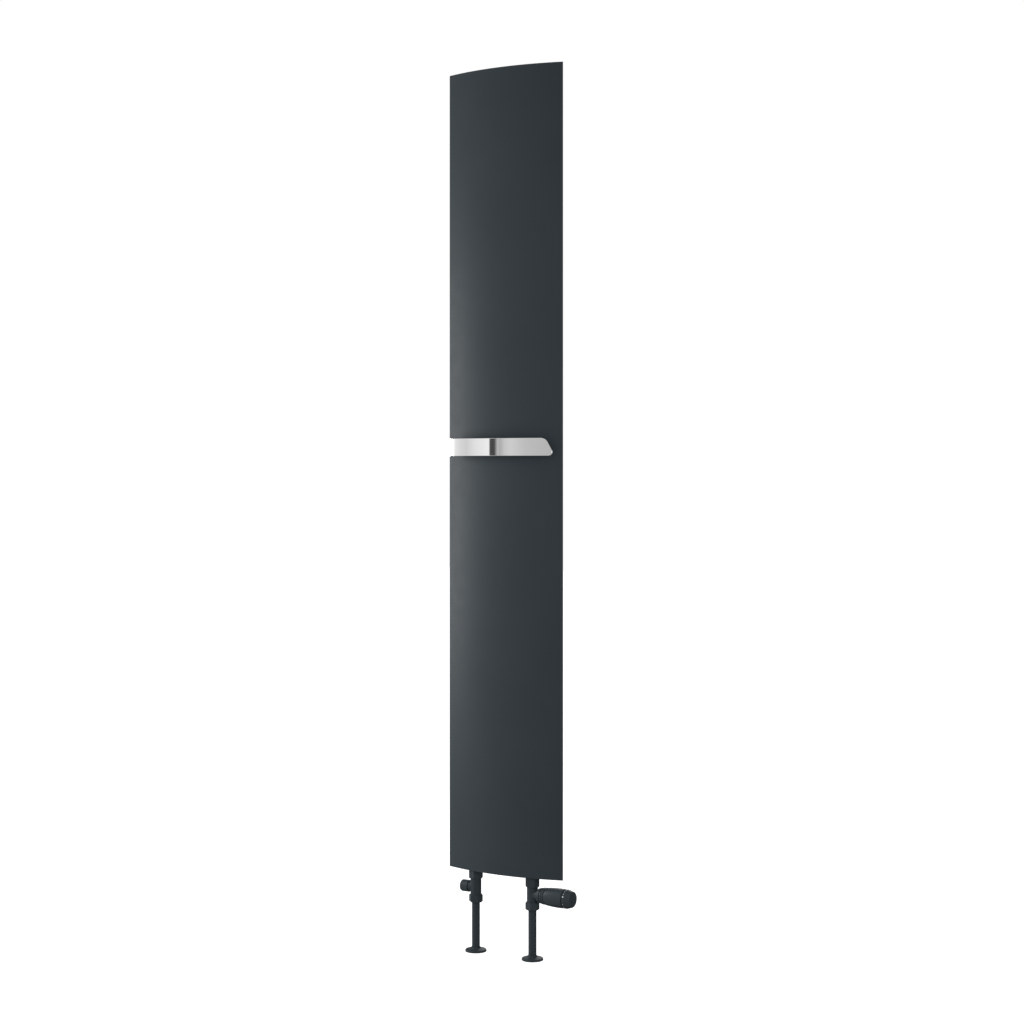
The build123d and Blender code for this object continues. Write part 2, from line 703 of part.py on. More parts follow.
def write(nodes):
    os.makedirs("parts", exist_ok=True)
    for name, shape in nodes.items():
        solids = []
        for piece in (shape if isinstance(shape, list) else [shape]):
            solids.extend(piece.solids())
        whole = solids[0] if len(solids) == 1 else Compound(children=solids)
        whole.label = name
        export_step(whole, f"parts/{name}.step")


write(all_nodes())
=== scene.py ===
import json
import math

import bpy
import bmesh
from mathutils import Matrix, Vector


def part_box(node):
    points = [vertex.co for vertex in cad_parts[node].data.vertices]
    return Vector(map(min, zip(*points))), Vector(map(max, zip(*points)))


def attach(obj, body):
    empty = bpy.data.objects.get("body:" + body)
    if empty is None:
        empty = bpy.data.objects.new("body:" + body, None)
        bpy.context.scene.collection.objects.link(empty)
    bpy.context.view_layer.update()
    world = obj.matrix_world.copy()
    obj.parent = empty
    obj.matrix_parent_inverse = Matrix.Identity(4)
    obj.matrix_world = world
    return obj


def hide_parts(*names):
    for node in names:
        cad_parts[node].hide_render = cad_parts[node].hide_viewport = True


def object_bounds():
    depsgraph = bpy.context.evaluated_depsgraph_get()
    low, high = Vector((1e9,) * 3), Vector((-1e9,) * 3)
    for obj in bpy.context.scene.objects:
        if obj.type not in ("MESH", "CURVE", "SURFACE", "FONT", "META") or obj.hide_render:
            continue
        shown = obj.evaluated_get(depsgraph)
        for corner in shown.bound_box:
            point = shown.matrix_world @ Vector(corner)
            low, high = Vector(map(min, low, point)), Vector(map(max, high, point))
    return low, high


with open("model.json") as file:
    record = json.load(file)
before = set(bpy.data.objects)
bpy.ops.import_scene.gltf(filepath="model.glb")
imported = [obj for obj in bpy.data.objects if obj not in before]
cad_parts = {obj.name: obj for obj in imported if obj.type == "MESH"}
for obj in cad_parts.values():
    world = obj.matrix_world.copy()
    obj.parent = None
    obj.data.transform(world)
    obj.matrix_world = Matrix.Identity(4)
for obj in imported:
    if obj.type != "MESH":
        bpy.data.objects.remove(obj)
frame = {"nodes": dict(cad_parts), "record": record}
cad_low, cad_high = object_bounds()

# Looks of a tall curved radiator with a towel bar and two valves.
# Metres, in the CAD's own frame: +X right, +Y into the wall, +Z up.

MM = 0.001
NODES = frame["nodes"]

# ---- sizes the design fixes, metres -------------------------------------
PANEL_RADIUS = 472 * MM
SHEET = 1.5 * MM
SHEET_CORNER = 1.0 * MM
SHEET_EDGE = 0.5 * MM
BAR_THICKNESS = 4 * MM
BAR_SLANT_DEG = 27.5
BAR_CORNER_PAST_TIP = 5.31 * MM
BAR_LEFT_CORNER = 3.0 * MM
BAR_RIGHT_CORNERS = (8.2 * MM, 16.6 * MM)
BAR_EDGE = 1.2 * MM

# ---- sizes of the valve pieces, millimetres -----------------------------
# Heights run up the pipe or out along the branch from the point where the two meet.
SOLID_END_RADIUS = 0.4
FACE_HOLE_RADIUS = 0.5
BODY_RADIUS = 12.3
BODY_ENDS = (-28.9, 31.9)
SOCKET_RADIUS = 7.6
SOCKET_MOUTH_RADIUS = 9.71
INLET_RADIUS, INLET_ASIDE = 4.8, -5
OUTLET_RADIUS, OUTLET_ASIDE = 5.6, 3
SEAT_RADIUS = 4.3
SEAT_END = 1
CHAMBER_RADIUS = 8.55
TRV_ARM_START, TRV_ARM_END = 1, 35.9
LOCK_ARM_START, LOCK_ARM_END = 1, 28.3
CASTING_GRAIN = 0.45
CASTING_EDGE = 0.3
ARM_EDGE = 0.5
SOFTEN_SHARE = 0.5
SOFTEN_TIMES = 9
SHARP_DEG = 60
NUT_FLATS = 27.8
NUT_CORNER = 0.35
NUT_CONE_SLOPE = 0.62
NUT_BORE_CHAMFER = 0.3
TOP_NUT_END = 42
TOP_NUT_BORE = 10.6
TOP_NUT_CUTS = (2.2, 2.2)
PIPE_NUT_ENDS = (-34, -16.5)
PIPE_NUT_BORE = 7.6
PIPE_NUT_CUTS = (3.4, 2.2)
SLEEVE_RADIUS = 9
SLEEVE_BORE = 7.55
SLEEVE_EDGE = 0.12
COLLAR_RADIUS = 24
COLLAR_BORE = 9.06
RING_NUT_EDGE = 0.22
HEAD_RADIUS = 21.1
HEAD_END = 84.0
HEAD_BORE = 16.5
KNOB_RADIUS = 20.9
KNOB_GROOVE_RADIUS = 18.0
KNOB_START, KNOB_END = 86, 105
KNOB_HUB_START = 75
KNOB_FLOOR = 101
CAP_RADIUS = 13.2
CAP_BORE = 10.96
CAP_ENDS = (16.4, 36.5)
CAP_FLOOR = 34.7

# ---- fineness of the meshes ---------------------------------------------
STRAIGHT_BELOW = 1e-4
ARC_STEPS = 5
FLAT_STEPS = 8
ROUND_SEGMENTS = 128
PLAIN_SEGMENTS = 64
CASTING_SEGMENTS = 96
SHEET_STEPS = 150
BAR_STEPS = 140

# ---- places read from the frame -----------------------------------------
panel_low, panel_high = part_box("front_panel")
bar_low, bar_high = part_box("towel_bar")
AXIS_Y = panel_low.y + PANEL_RADIUS
CHORD_Y = AXIS_Y - math.sqrt(PANEL_RADIUS ** 2 - panel_high.x ** 2)
FLOOR_Z = cad_low.z
MIDDLE_Z = (panel_low.z + panel_high.z) / 2


def middle(node):
    low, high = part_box(node)
    return (low + high) / 2


def valve_place(prefix, side_node, turn):
    """Matrix that puts a piece drawn about the pipe (Z) and branch (+X) in place."""
    pipe = middle(prefix + "_sleeve")
    spot = Vector((pipe.x, pipe.y, middle(side_node).z))
    return Matrix.Translation(spot) @ Matrix.Rotation(turn, 4, "Z")


AT_TRV = valve_place("trv", "trv_knob", 0.0)
AT_LOCK = valve_place("lock", "lock_cap", math.pi)
ALONG_BRANCH = Matrix.Rotation(math.pi / 2, 4, "Y")
AT_HEAD = AT_TRV @ ALONG_BRANCH
AT_CAP = AT_LOCK @ ALONG_BRANCH


# ---- outlines -----------------------------------------------------------
def rounded_chain(corners, radii, counts, closed=False, side=1):
    """Points and outward normals along a polyline whose corners are rounded.

    counts says into how many steps each straight stretch is cut. side is 1 when the
    inside lies to the left of the direction of travel."""
    pts = [Vector(c) for c in corners]
    last = len(pts) if closed else len(pts) - 1
    dirs = [(pts[(i + 1) % len(pts)] - pts[i]).normalized() for i in range(last)]
    out = []

    def normal(d):
        return Vector((d.y, -d.x)) * side

    def corner(i):
        d1, d2 = dirs[i - 1], dirs[i % last]
        turn = d1.angle_signed(d2) * -1
        if radii[i] <= 0 or abs(turn) < STRAIGHT_BELOW:
            return [(pts[i], (normal(d1) + normal(d2)).normalized())]
        bend = 1 if turn > 0 else -1
        cut = radii[i] * math.tan(abs(turn) / 2)
        start = pts[i] - d1 * cut
        left = Vector((-d1.y, d1.x)) * bend
        centre = start + left * radii[i]
        found = []
        for k in range(ARC_STEPS + 1):
            a = turn * k / ARC_STEPS
            arm = Matrix.Rotation(a, 2) @ (-left)
            d = Matrix.Rotation(a, 2) @ d1
            found.append((centre + arm * radii[i], normal(d)))
        return found

    for i in range(len(pts)):
        end_point = not closed and i in (0, len(pts) - 1)
        arcs = [(pts[i], normal(dirs[min(i, last - 1)]))] if end_point else corner(i)
        if out and counts[i - 1] > 1:
            p0, p1 = out[-1][0], arcs[0][0]
            n = normal(dirs[i - 1])
            out += [(p0.lerp(p1, k / counts[i - 1]), n) for k in range(1, counts[i - 1])]
        out += arcs
    return out


def arc_through(a, b, c, steps):
    """Points on the circle through three points, from a to c."""
    ax, ay, bx, by, cx, cy = *a, *b, *c
    d = 2 * (ax * (by - cy) + bx * (cy - ay) + cx * (ay - by))
    sa, sb, sc = ax * ax + ay * ay, bx * bx + by * by, cx * cx + cy * cy
    ux = (sa * (by - cy) + sb * (cy - ay) + sc * (ay - by)) / d
    uy = (sa * (cx - bx) + sb * (ax - cx) + sc * (bx - ax)) / d
    start = math.atan2(ay - uy, ax - ux)
    sweep = (math.atan2(cy - uy, cx - ux) - start + math.pi) % (2 * math.pi) - math.pi
    r = math.hypot(ax - ux, ay - uy)
    turns = [start + sweep * k / steps for k in range(steps + 1)]
    return [(ux + r * math.cos(t), uy + r * math.sin(t)) for t in turns]


# ---- meshes -------------------------------------------------------------
def placed(name, data):
    """New object for some data, linked to the scene."""
    obj = bpy.data.objects.new(name, data)
    bpy.context.scene.collection.objects.link(obj)
    return obj


def smooth(mesh):
    for poly in mesh.polygons:
        poly.use_smooth = True


def outward(mesh):
    work = bmesh.new()
    work.from_mesh(mesh)
    bmesh.ops.recalc_face_normals(work, faces=work.faces)
    work.to_mesh(mesh)
    work.free()


def new_piece(name, verts, faces, normals):
    """Smooth closed surface, turned outward, with one shading normal for each point."""
    mesh = bpy.data.meshes.new(name)
    mesh.from_pydata([tuple(v) for v in verts], [], faces)
    mesh.update()
    smooth(mesh)
    outward(mesh)
    mesh.normals_split_custom_set_from_vertices([tuple(n) for n in normals])
    return placed(name, mesh)


def skin(name, rings, normals, place=Matrix.Identity(4), wrap=True):
    """Closed surface through rings of points. wrap joins the last ring to the first;
    otherwise both ends are capped."""
    count, size = len(rings), len(rings[0])
    verts = [place @ Vector(p) for ring in rings for p in ring]
    turn = place.to_3x3()
    norms = [(turn @ Vector(n)).normalized() for ring in normals for n in ring]
    faces = []
    for j in range(count if wrap else count - 1):
        a, b = j * size, ((j + 1) % count) * size
        for i in range(size):
            k = (i + 1) % size
            faces.append((a + i, a + k, b + k, b + i))
    if not wrap:
        faces.append(tuple(reversed(range(size))))
        faces.append(tuple(range((count - 1) * size, count * size)))
    return new_piece(name, verts, faces, norms)


def lathe(name, corners, radii, place, closed=True, segments=ROUND_SEGMENTS):
    """Turned piece about Z from (radius, height) corners in millimetres.

    radii rounds the corners: one number for them all, or a list."""
    if isinstance(radii, (int, float)):
        radii = [radii] * len(corners)
    chain = rounded_chain(corners, radii, [1] * len(corners), closed)
    rings, normals = [], []
    for p, n in chain:
        ring, norm = [], []
        for k in range(segments):
            t = 2 * math.pi * k / segments
            c, s = math.cos(t), math.sin(t)
            ring.append((p.x * c * MM, p.x * s * MM, p.y * MM))
            norm.append((n.x * c, n.x * s, n.y))
        rings.append(ring)
        normals.append(norm)
    return skin(name, rings, normals, place, wrap=closed)


def hex_nut(name, flats, low, high, facing_deg, cuts, bore, place):
    """Hexagon nut with coned ends and softened edges, millimetres.

    facing_deg turns one corner from +X; cuts says how far the lower and the upper cone
    reach in from the corners."""
    corner = flats / math.sqrt(3)
    turns = [math.radians(facing_deg + 60 * k) for k in range(6)]
    corners = [(corner * math.cos(t), corner * math.sin(t)) for t in turns]
    outline = rounded_chain(corners, [NUT_CORNER] * 6, [1] + [FLAT_STEPS] * 5, closed=True)
    p0, p1 = outline[-1][0], outline[0][0]
    n = outline[-1][1]
    outline += [(p0.lerp(p1, k / FLAT_STEPS), n) for k in range(1, FLAT_STEPS)]
    slope = NUT_CONE_SLOPE
    cone_edge, flank_edge, face_edge = 0.12, 0.15, 0.1
    low_cone, high_cone = corner * 0.07, corner * 0.05
    chamfer = NUT_BORE_CHAMFER
    rings, normals = [], []

    def add(make):
        """One more ring, made from each outline point and the normal of its flat."""
        made = [make(p, flat) for p, flat in outline]
        rings.append([[c * MM for c in spot] for spot, _ in made])
        normals.append([facing for _, facing in made])

    def at(radius, z, out, up):
        def make(p, flat):
            d = p.normalized()
            return (d.x * radius, d.y * radius, z), (d.x * out, d.y * out, up)
        return make

    def cone(z, sign, cut, back):
        start = corner - cut

        def make(p, flat):
            d = p.normalized()
            r = p.length - back
            spot = (d.x * r, d.y * r, z + sign * (r - start) * slope)
            return spot, (d.x * slope, d.y * slope, -sign)
        return make

    def flank(z, sign, cut, back):
        start = corner - cut

        def make(p, flat):
            rise = (p.length - start) * slope + back
            return (p.x, p.y, z + sign * rise), (flat.x, flat.y, 0)
        return make

    add(at(bore, low + chamfer, -1, 0))
    add(at(bore + chamfer, low, 0, -1))
    add(at(corner - cuts[0] - face_edge, low, 0, -1))
    add(cone(low, 1, cuts[0], low_cone))
    add(cone(low, 1, cuts[0], cone_edge))
    add(flank(low, 1, cuts[0], flank_edge))
    add(flank(high, -1, cuts[1], flank_edge))
    add(cone(high, -1, cuts[1], cone_edge))
    add(cone(high, -1, cuts[1], high_cone))
    add(at(corner - cuts[1] - face_edge, high, 0, 1))
    add(at(bore + chamfer, high, 0, 1))
    add(at(bore, high - chamfer, -1, 0))
    return skin(name, rings, normals, place)


def curved_plate(name, outer, thickness, low_chain, high_chain, soft, rows=12):
    """Plate bent about the panel's axis. The two chains run left to right along the
    bottom and the top and hold the same number of (x, z) points with normals. soft is
    the radius of its edges, front and back."""
    inner = outer - thickness
    outline = low_chain + list(reversed(high_chain))
    size = len(outline)
    turns = [math.radians(90 * k / ARC_STEPS) for k in range(ARC_STEPS + 1)]
    bends = [(soft * (1 - math.sin(a)), soft * (1 - math.cos(a)), a) for a in turns]
    levels = [(by_sine, outer - by_cosine, a) for by_sine, by_cosine, a in bends]
    levels += [(by_cosine, inner + by_sine, a + math.pi / 2) for by_sine, by_cosine, a in bends]

    def point(x, z, radius):
        return Vector((x, AXIS_Y - math.sqrt(radius ** 2 - x ** 2), z))

    def frame_at(x, radius):
        c = math.sqrt(1 - (x / radius) ** 2)
        return Vector((x / radius, -c, 0)), Vector((c, x / radius, 0))

    verts, norms, faces = [], [], []
    for inset, radius, a in levels:
        for p, n in outline:
            x, z = p.x - n.x * inset, p.y - n.y * inset
            front, along = frame_at(x, radius)
            edge = along * n.x + Vector((0, 0, n.y))
            verts.append(point(x, z, radius))
            norms.append((front * math.cos(a) + edge * math.sin(a)).normalized())
    for j in range(len(levels) - 1):
        for i in range(size):
            k = (i + 1) % size
            faces.append((j * size + i, j * size + k, (j + 1) * size + k, (j + 1) * size + i))
    for base, radius, sign in ((0, outer, 1), ((len(levels) - 1) * size, inner, -1)):
        grid = []
        for i in range(len(low_chain)):
            bottom, top = base + i, base + size - 1 - i
            column = [bottom]
            for r in range(1, rows):
                spot = verts[bottom].lerp(verts[top], r / rows)
                verts.append(point(spot.x, spot.z, radius))
                norms.append(frame_at(spot.x, radius)[0] * sign)
                column.append(len(verts) - 1)
            grid.append(column + [top])
        for left, right in zip(grid, grid[1:]):
            faces += [(left[r], right[r], right[r + 1], left[r + 1]) for r in range(rows)]
        for edge in (grid[0], grid[-1]):
            faces.append(tuple(edge))
    return new_piece(name, verts, faces, norms)


def plate_chains(low, high, steps, radii_low, radii_high):
    """Bottom and top outlines, each from its first rounded corner to its last."""
    bottom = rounded_chain(low, [0, *radii_low, 0], [1, steps, 1])
    top = rounded_chain(high, [0, *radii_high, 0], [1, steps, 1], side=-1)
    return bottom[1:-1], top[1:-1]


# ---- node helpers for materials -----------------------------------------
class Mat:
    """Small wrapper that builds a node material around one Principled shader."""

    def __init__(self, name):
        self.material = bpy.data.materials.new(name)
        self.material.use_nodes = True
        self.tree = self.material.node_tree
        self.shader = self.tree.nodes["Principled BSDF"]
        self.place = self.node("ShaderNodeTexCoord").outputs["Object"]

    def node(self, kind):
        return self.tree.nodes.new(kind)

    def link(self, a, b):
        self.tree.links.new(a, b)

    def stretched(self, scale):
        mapping = self.node("ShaderNodeMapping")
        mapping.inputs["Scale"].default_value = scale
        self.link(self.place, mapping.inputs["Vector"])
        return mapping.outputs["Vector"]

    def noise(self, scale, detail, source=None):
        made = self.node("ShaderNodeTexNoise")
        made.inputs["Scale"].default_value = scale
        made.inputs["Detail"].default_value = detail
        self.link(source or self.place, made.inputs["Vector"])
        return made.outputs["Fac"]

    def ranged(self, source, low, high, from_low=0.3, from_high=0.7):
        made = self.node("ShaderNodeMapRange")
        made.inputs["From Min"].default_value = from_low
        made.inputs["From Max"].default_value = from_high
        made.inputs["To Min"].default_value = low
        made.inputs["To Max"].default_value = high
        self.link(source, made.inputs["Value"])
        return made.outputs["Result"]

    def mixed(self, factor, a, b):
        made = self.node("ShaderNodeMix")
        made.data_type = "RGBA"
        self.link(factor, made.inputs["Factor"])
        for socket, value in ((made.inputs[6], a), (made.inputs[7], b)):
            if isinstance(value, tuple):
                socket.default_value = (*value, 1.0)
            else:
                self.link(value, socket)
        return made.outputs[2]

    def colour(self, source):
        self.link(source, self.shader.inputs["Base Color"])

    def roughness(self, source):
        self.link(source, self.shader.inputs["Roughness"])

    def bump(self, layers):
        """layers is a list of (height output, strength, distance in metres)."""
        last = None
        for height, strength, distance in layers:
            made = self.node("ShaderNodeBump")
            made.inputs["Strength"].default_value = strength
            made.inputs["Distance"].default_value = distance
            self.link(height, made.inputs["Height"])
            if last is not None:
                self.link(last, made.inputs["Normal"])
            last = made.outputs["Normal"]
        self.link(last, self.shader.inputs["Normal"])

    def edges(self, low, high):
        """Factor that is 1 on sharp outer edges, where the painted edge highlight goes."""
        geometry = self.node("ShaderNodeNewGeometry")
        return self.ranged(geometry.outputs["Pointiness"], 0.0, 1.0, low, high)


# ---- materials ----------------------------------------------------------
# A noise is given as (scale, detail), a roughness as (lowest, highest), a depth in metres.
ANTHRACITE = (0.0360, 0.0468, 0.0547)
# Painted highlight: the sharp outer edges of the powder coat are coloured lighter by this factor, over
# this pointiness range.
PAINTED_EDGE_HIGHLIGHT = 1.7
EDGE_HIGHLIGHT_RANGE = (0.53, 0.62)


def shade(colour, factor):
    return tuple(c * factor for c in colour)


def shades(colour, dark, light):
    return shade(colour, dark), shade(colour, light)


def grained(name, tones, tone_noise, roughness, rough_noise, bump_noise, strength, depth,
            metallic=0.0, specular=0.5):
    """Colour mottled between two tones, uneven sheen and one fine bump."""
    m = Mat(name)
    m.shader.inputs["Metallic"].default_value = metallic
    m.shader.inputs["Specular IOR Level"].default_value = specular
    m.colour(m.mixed(m.ranged(m.noise(*tone_noise), 0.0, 1.0), *tones))
    m.roughness(m.ranged(m.noise(*rough_noise), *roughness))
    m.bump([(m.noise(*bump_noise), strength, depth)])
    return m.material


def powder_coat():
    m = Mat("powder_coat")
    m.shader.inputs["Specular IOR Level"].default_value = 0.14
    broad, sheen = m.noise(5.0, 3.0), m.noise(40.0, 4.0)
    orange_peel, grain = m.noise(620.0, 2.0), m.noise(2600.0, 2.0)
    tone = m.mixed(m.ranged(broad, 0.0, 1.0), *shades(ANTHRACITE, 0.95, 1.05))
    # Painted highlight: the sheet's sharp edges are coloured lighter than the paint.
    m.colour(m.mixed(m.edges(*EDGE_HIGHLIGHT_RANGE), tone, shade(ANTHRACITE, PAINTED_EDGE_HIGHLIGHT)))
    m.roughness(m.ranged(sheen, 0.43, 0.48))
    m.bump([(orange_peel, 0.10, 0.0002), (grain, 0.12, 0.00006)])
    return m.material


def polished_chrome():
    m = Mat("polished_chrome")
    m.shader.inputs["Metallic"].default_value = 1.0
    haze = m.noise(14.0, 5.0)
    m.colour(m.mixed(m.ranged(haze, 0.0, 1.0), (0.93, 0.925, 0.92), (0.955, 0.95, 0.945)))
    lines = m.noise(60.0, 3.0, m.stretched((2.0, 2.0, 60.0)))
    m.roughness(m.ranged(lines, 0.02, 0.04))
    m.bump([(lines, 0.01, 0.00001)])
    return m.material


def machined(name, colour, roughness, grain):
    """Turned or drawn metal; a higher grain is a finer one."""
    return grained(name, shades(colour, 0.8, 1.1), (90.0, 4.0), (roughness - 0.07, roughness + 0.08),
                   (220.0, 4.0), (grain, 3.0), 0.12, 0.00008, metallic=1.0)


def moulded_plastic():
    return grained("moulded_plastic", shades(ANTHRACITE, 0.97, 1.09), (30.0, 3.0), (0.34, 0.44),
                   (120.0, 3.0), (5200.0, 2.0), 0.15, 0.00004, specular=0.2)


def moulded_pale():
    return grained("moulded_pale", ((0.56, 0.56, 0.53), (0.64, 0.64, 0.61)), (60.0, 3.0), (0.4, 0.52),
                   (150.0, 3.0), (4500.0, 2.0), 0.12, 0.00004)


def printed_white():
    return grained("printed_white", ((0.86, 0.86, 0.85), (0.95, 0.95, 0.94)), (900.0, 2.0), (0.35, 0.5),
                   (700.0, 2.0), (4000.0, 2.0), 0.1, 0.00003)


def seal_rubber():
    return grained("seal_rubber", ((0.012, 0.012, 0.012), (0.03, 0.03, 0.03)), (300.0, 3.0), (0.55, 0.7),
                   (500.0, 3.0), (2500.0, 3.0), 0.2, 0.00008)


FINISH = {
    "anthracite_paint": powder_coat(),
    "polished_bar": polished_chrome(),
    "raw_steel": machined("raw_steel", (0.5, 0.5, 0.51), 0.35, 1500.0),
    "brass": machined("turned_brass", (0.62, 0.44, 0.19), 0.28, 1800.0),
    "sensor_metal": machined("drawn_aluminium", (0.72, 0.72, 0.73), 0.32, 1200.0),
    "anthracite_plastic": moulded_plastic(),
    "pale_plastic": moulded_pale(),
    "dial_white": printed_white(),
    "seal_rubber": seal_rubber(),
}
SLOT_OF = {s["node"]: s["material_slot"] for s in frame["record"]["subparts"]}


def paint(obj, slot):
    obj.data.materials.clear()
    obj.data.materials.append(FINISH[slot])


def stand_for(obj, body, *nodes):
    """obj rides on the body, replaces those CAD nodes and takes the first one's finish."""
    slot = SLOT_OF[nodes[0]]
    paint(obj, slot)
    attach(obj, body)
    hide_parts(*nodes)


# ---- the radiator's own pieces ------------------------------------------
def build_panel():
    half, low, high = panel_high.x, panel_low.z, panel_high.z
    left, right = (-half, MIDDLE_Z), (half, MIDDLE_Z)
    radii = (SHEET_CORNER, SHEET_CORNER)
    chains = plate_chains([left, (-half, low), (half, low), right],
                          [left, (-half, high), (half, high), right], SHEET_STEPS, radii, radii)
    sheet = curved_plate("curved_front_sheet", PANEL_RADIUS, SHEET, *chains, SHEET_EDGE)
    stand_for(sheet, "radiator", "front_panel")


def build_bar():
    low, high = bar_low.z, bar_high.z
    reach = bar_high.x + BAR_CORNER_PAST_TIP
    top_reach = reach - (high - low) * math.tan(math.radians(BAR_SLANT_DEG))
    mid_z = (low + high) / 2
    left, right = (bar_low.x, mid_z), ((reach + top_reach) / 2, mid_z)
    low_radii, high_radii = ((BAR_LEFT_CORNER, radius) for radius in BAR_RIGHT_CORNERS)
    chains = plate_chains([left, (bar_low.x, low), (reach, low), right],
                          [left, (bar_low.x, high), (top_reach, high), right],
                          BAR_STEPS, low_radii, high_radii)
    radius = AXIS_Y - bar_low.y
    bar = curved_plate("polished_towel_bar", radius, BAR_THICKNESS, *chains, BAR_EDGE, rows=16)
    stand_for(bar, "radiator", "towel_bar")


# ---- valve bodies -------------------------------------------------------
# Each bore inside a valve body, as its (radius, height) corners and where it is drawn.
# The open ends run on past the body.
BORES = (
    ([(SOCKET_MOUTH_RADIUS, -30), (SOCKET_RADIUS, -27), (SOCKET_RADIUS, -14)], Matrix.Identity(4)),
    ([(INLET_RADIUS, -15), (INLET_RADIUS, 2)], Matrix.Translation((INLET_ASIDE * MM, 0, 0))),
    ([(OUTLET_RADIUS, 6), (OUTLET_RADIUS, 33)], Matrix.Translation((OUTLET_ASIDE * MM, 0, 0))),
    ([(SEAT_RADIUS, -6), (SEAT_RADIUS, SEAT_END), (CHAMBER_RADIUS, SEAT_END), (CHAMBER_RADIUS, 37)],
     ALONG_BRANCH),
)


def solid_turned(name, corners, radii, place, segments):
    """Turned piece without a hole: both ends are closed right across."""
    start, end = corners[0][1], corners[-1][1]
    outline = [(SOLID_END_RADIUS, start), *corners, (SOLID_END_RADIUS, end)]
    return lathe(name, outline, [0, *radii, 0], place, closed=False, segments=segments)


def combine(obj, operation, other):
    made = obj.modifiers.new(operation.lower(), "BOOLEAN")
    made.operation = operation
    made.solver = "EXACT"
    made.object = other


def bore_core(name):
    """Rods that fill the space inside a valve body. The first one is joined from them all."""
    rods = [solid_turned(f"{name}_bore_{k}", bore, [0] * len(bore), place, PLAIN_SEGMENTS)
            for k, (bore, place) in enumerate(BORES)]
    for rod in rods[1:]:
        combine(rods[0], "UNION", rod)
    return rods


def cast_body(name, place, branch, prefix):
    """Pipe and branch grown together with a soft fillet, as a casting is, then bored."""
    low, high = BODY_ENDS
    upright = solid_turned(name + "_pipe", [(BODY_RADIUS, low), (BODY_RADIUS, high)],
                           [CASTING_EDGE] * 2, Matrix.Identity(4), CASTING_SEGMENTS)
    arm = solid_turned(name + "_arm", branch, [ARM_EDGE] * len(branch), ALONG_BRANCH, CASTING_SEGMENTS)
    combine(upright, "UNION", arm)
    grown = upright.modifiers.new("grow", "REMESH")
    grown.mode = "VOXEL"
    grown.voxel_size = CASTING_GRAIN * MM
    soft = upright.modifiers.new("soften", "SMOOTH")
    soft.factor = SOFTEN_SHARE
    soft.iterations = SOFTEN_TIMES
    rods = bore_core(name)
    combine(upright, "DIFFERENCE", rods[0])
    graph = bpy.context.evaluated_depsgraph_get()
    mesh = bpy.data.meshes.new_from_object(upright.evaluated_get(graph))
    mesh.name = name
    for piece in (upright, arm, *rods):
        bpy.data.objects.remove(piece)
    if "custom_normal" in mesh.attributes:
        mesh.attributes.remove(mesh.attributes["custom_normal"])
    mesh.set_sharp_from_angle(angle=math.radians(SHARP_DEG))
    mesh.transform(place)
    smooth(mesh)
    stand_for(placed(name, mesh), "radiator", prefix + "_body")


def build_trv_body():
    branch = [(11.2, TRV_ARM_START), (11.5, 12), (12.5, 15), (15.3, 17.6), (16.5, 21.5), (17.3, 24.7),
              (16.9, 25.3), (14.8, 25.4), (14.8, TRV_ARM_END)]
    cast_body("trv_cast_body", AT_TRV, branch, "trv")


def build_lock_body():
    branch = [(11.6, LOCK_ARM_START), (11.9, 10), (11.9, 15.1), (10.8, 15.5), (10.8, LOCK_ARM_END)]
    cast_body("lock_cast_body", AT_LOCK, branch, "lock")


# Where each valve stands, where its top nut starts, and how far its top nut and its
# pipe nut are turned, in degrees.
NUTS = {"trv": (AT_TRV, 17, 17, 44), "lock": (AT_LOCK, 20, 44, 19)}


def build_nuts():
    low, high = PIPE_NUT_ENDS
    for prefix, (place, start, top_turn, pipe_turn) in NUTS.items():
        nut = hex_nut(prefix + "_top_nut", NUT_FLATS, start, TOP_NUT_END, top_turn, TOP_NUT_CUTS,
                      TOP_NUT_BORE, place)
        stand_for(nut, "radiator", prefix + "_union_nut")
        nut = hex_nut(prefix + "_pipe_nut", NUT_FLATS, low, high, pipe_turn, PIPE_NUT_CUTS,
                      PIPE_NUT_BORE, place)
        stand_for(nut, "radiator", prefix + "_compression_nut")


def build_pipes():
    for prefix in ("trv", "lock"):
        low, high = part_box(prefix + "_sleeve")
        centre = middle(prefix + "_sleeve")
        place = Matrix.Translation((centre.x, centre.y, 0))
        z0, z1 = low.z / MM, high.z / MM
        corners = [(SLEEVE_BORE, z0), (SLEEVE_RADIUS, z0), (SLEEVE_RADIUS, z1), (SLEEVE_BORE, z1)]
        tube = lathe(prefix + "_pipe_sleeve", corners, SLEEVE_EDGE, place, segments=PLAIN_SEGMENTS)
        stand_for(tube, "radiator", prefix + "_sleeve")


def build_rosettes():
    for prefix in ("trv", "lock"):
        low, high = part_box(prefix + "_rosette")
        centre = middle(prefix + "_rosette")
        place = Matrix.Translation((centre.x, centre.y, low.z))
        top = (high.z - low.z) / MM
        foot = (COLLAR_BORE + 4.1, 7.0)
        dome = arc_through((COLLAR_RADIUS - 1.0, 4.6), (18.0, 6.0), foot, 10)
        neck = arc_through(foot, (COLLAR_BORE + 2.1, 7.8), (COLLAR_BORE + 1.2, top), 8)
        corners = [(COLLAR_RADIUS, 0), (COLLAR_RADIUS, 3.6), *dome, *neck[1:], (COLLAR_BORE, top),
                   (COLLAR_BORE, 0.6), (COLLAR_BORE + 2.6, 0.6), (COLLAR_BORE + 2.6, 2.9), (16, 2.4),
                   (COLLAR_RADIUS - 1.6, 1.4), (COLLAR_RADIUS - 1.6, 0)]
        along_arcs = [0.0] * (len(dome) + len(neck) - 3)
        radii = [0.2, 0.6, 0.5, *along_arcs, 0.35, 0.2, 0.1, 0.2, 0.2, 0, 0.2, 0.1]
        collar = lathe(prefix + "_floor_collar", corners, radii, place)
        stand_for(collar, prefix + "_rosette", prefix + "_rosette")


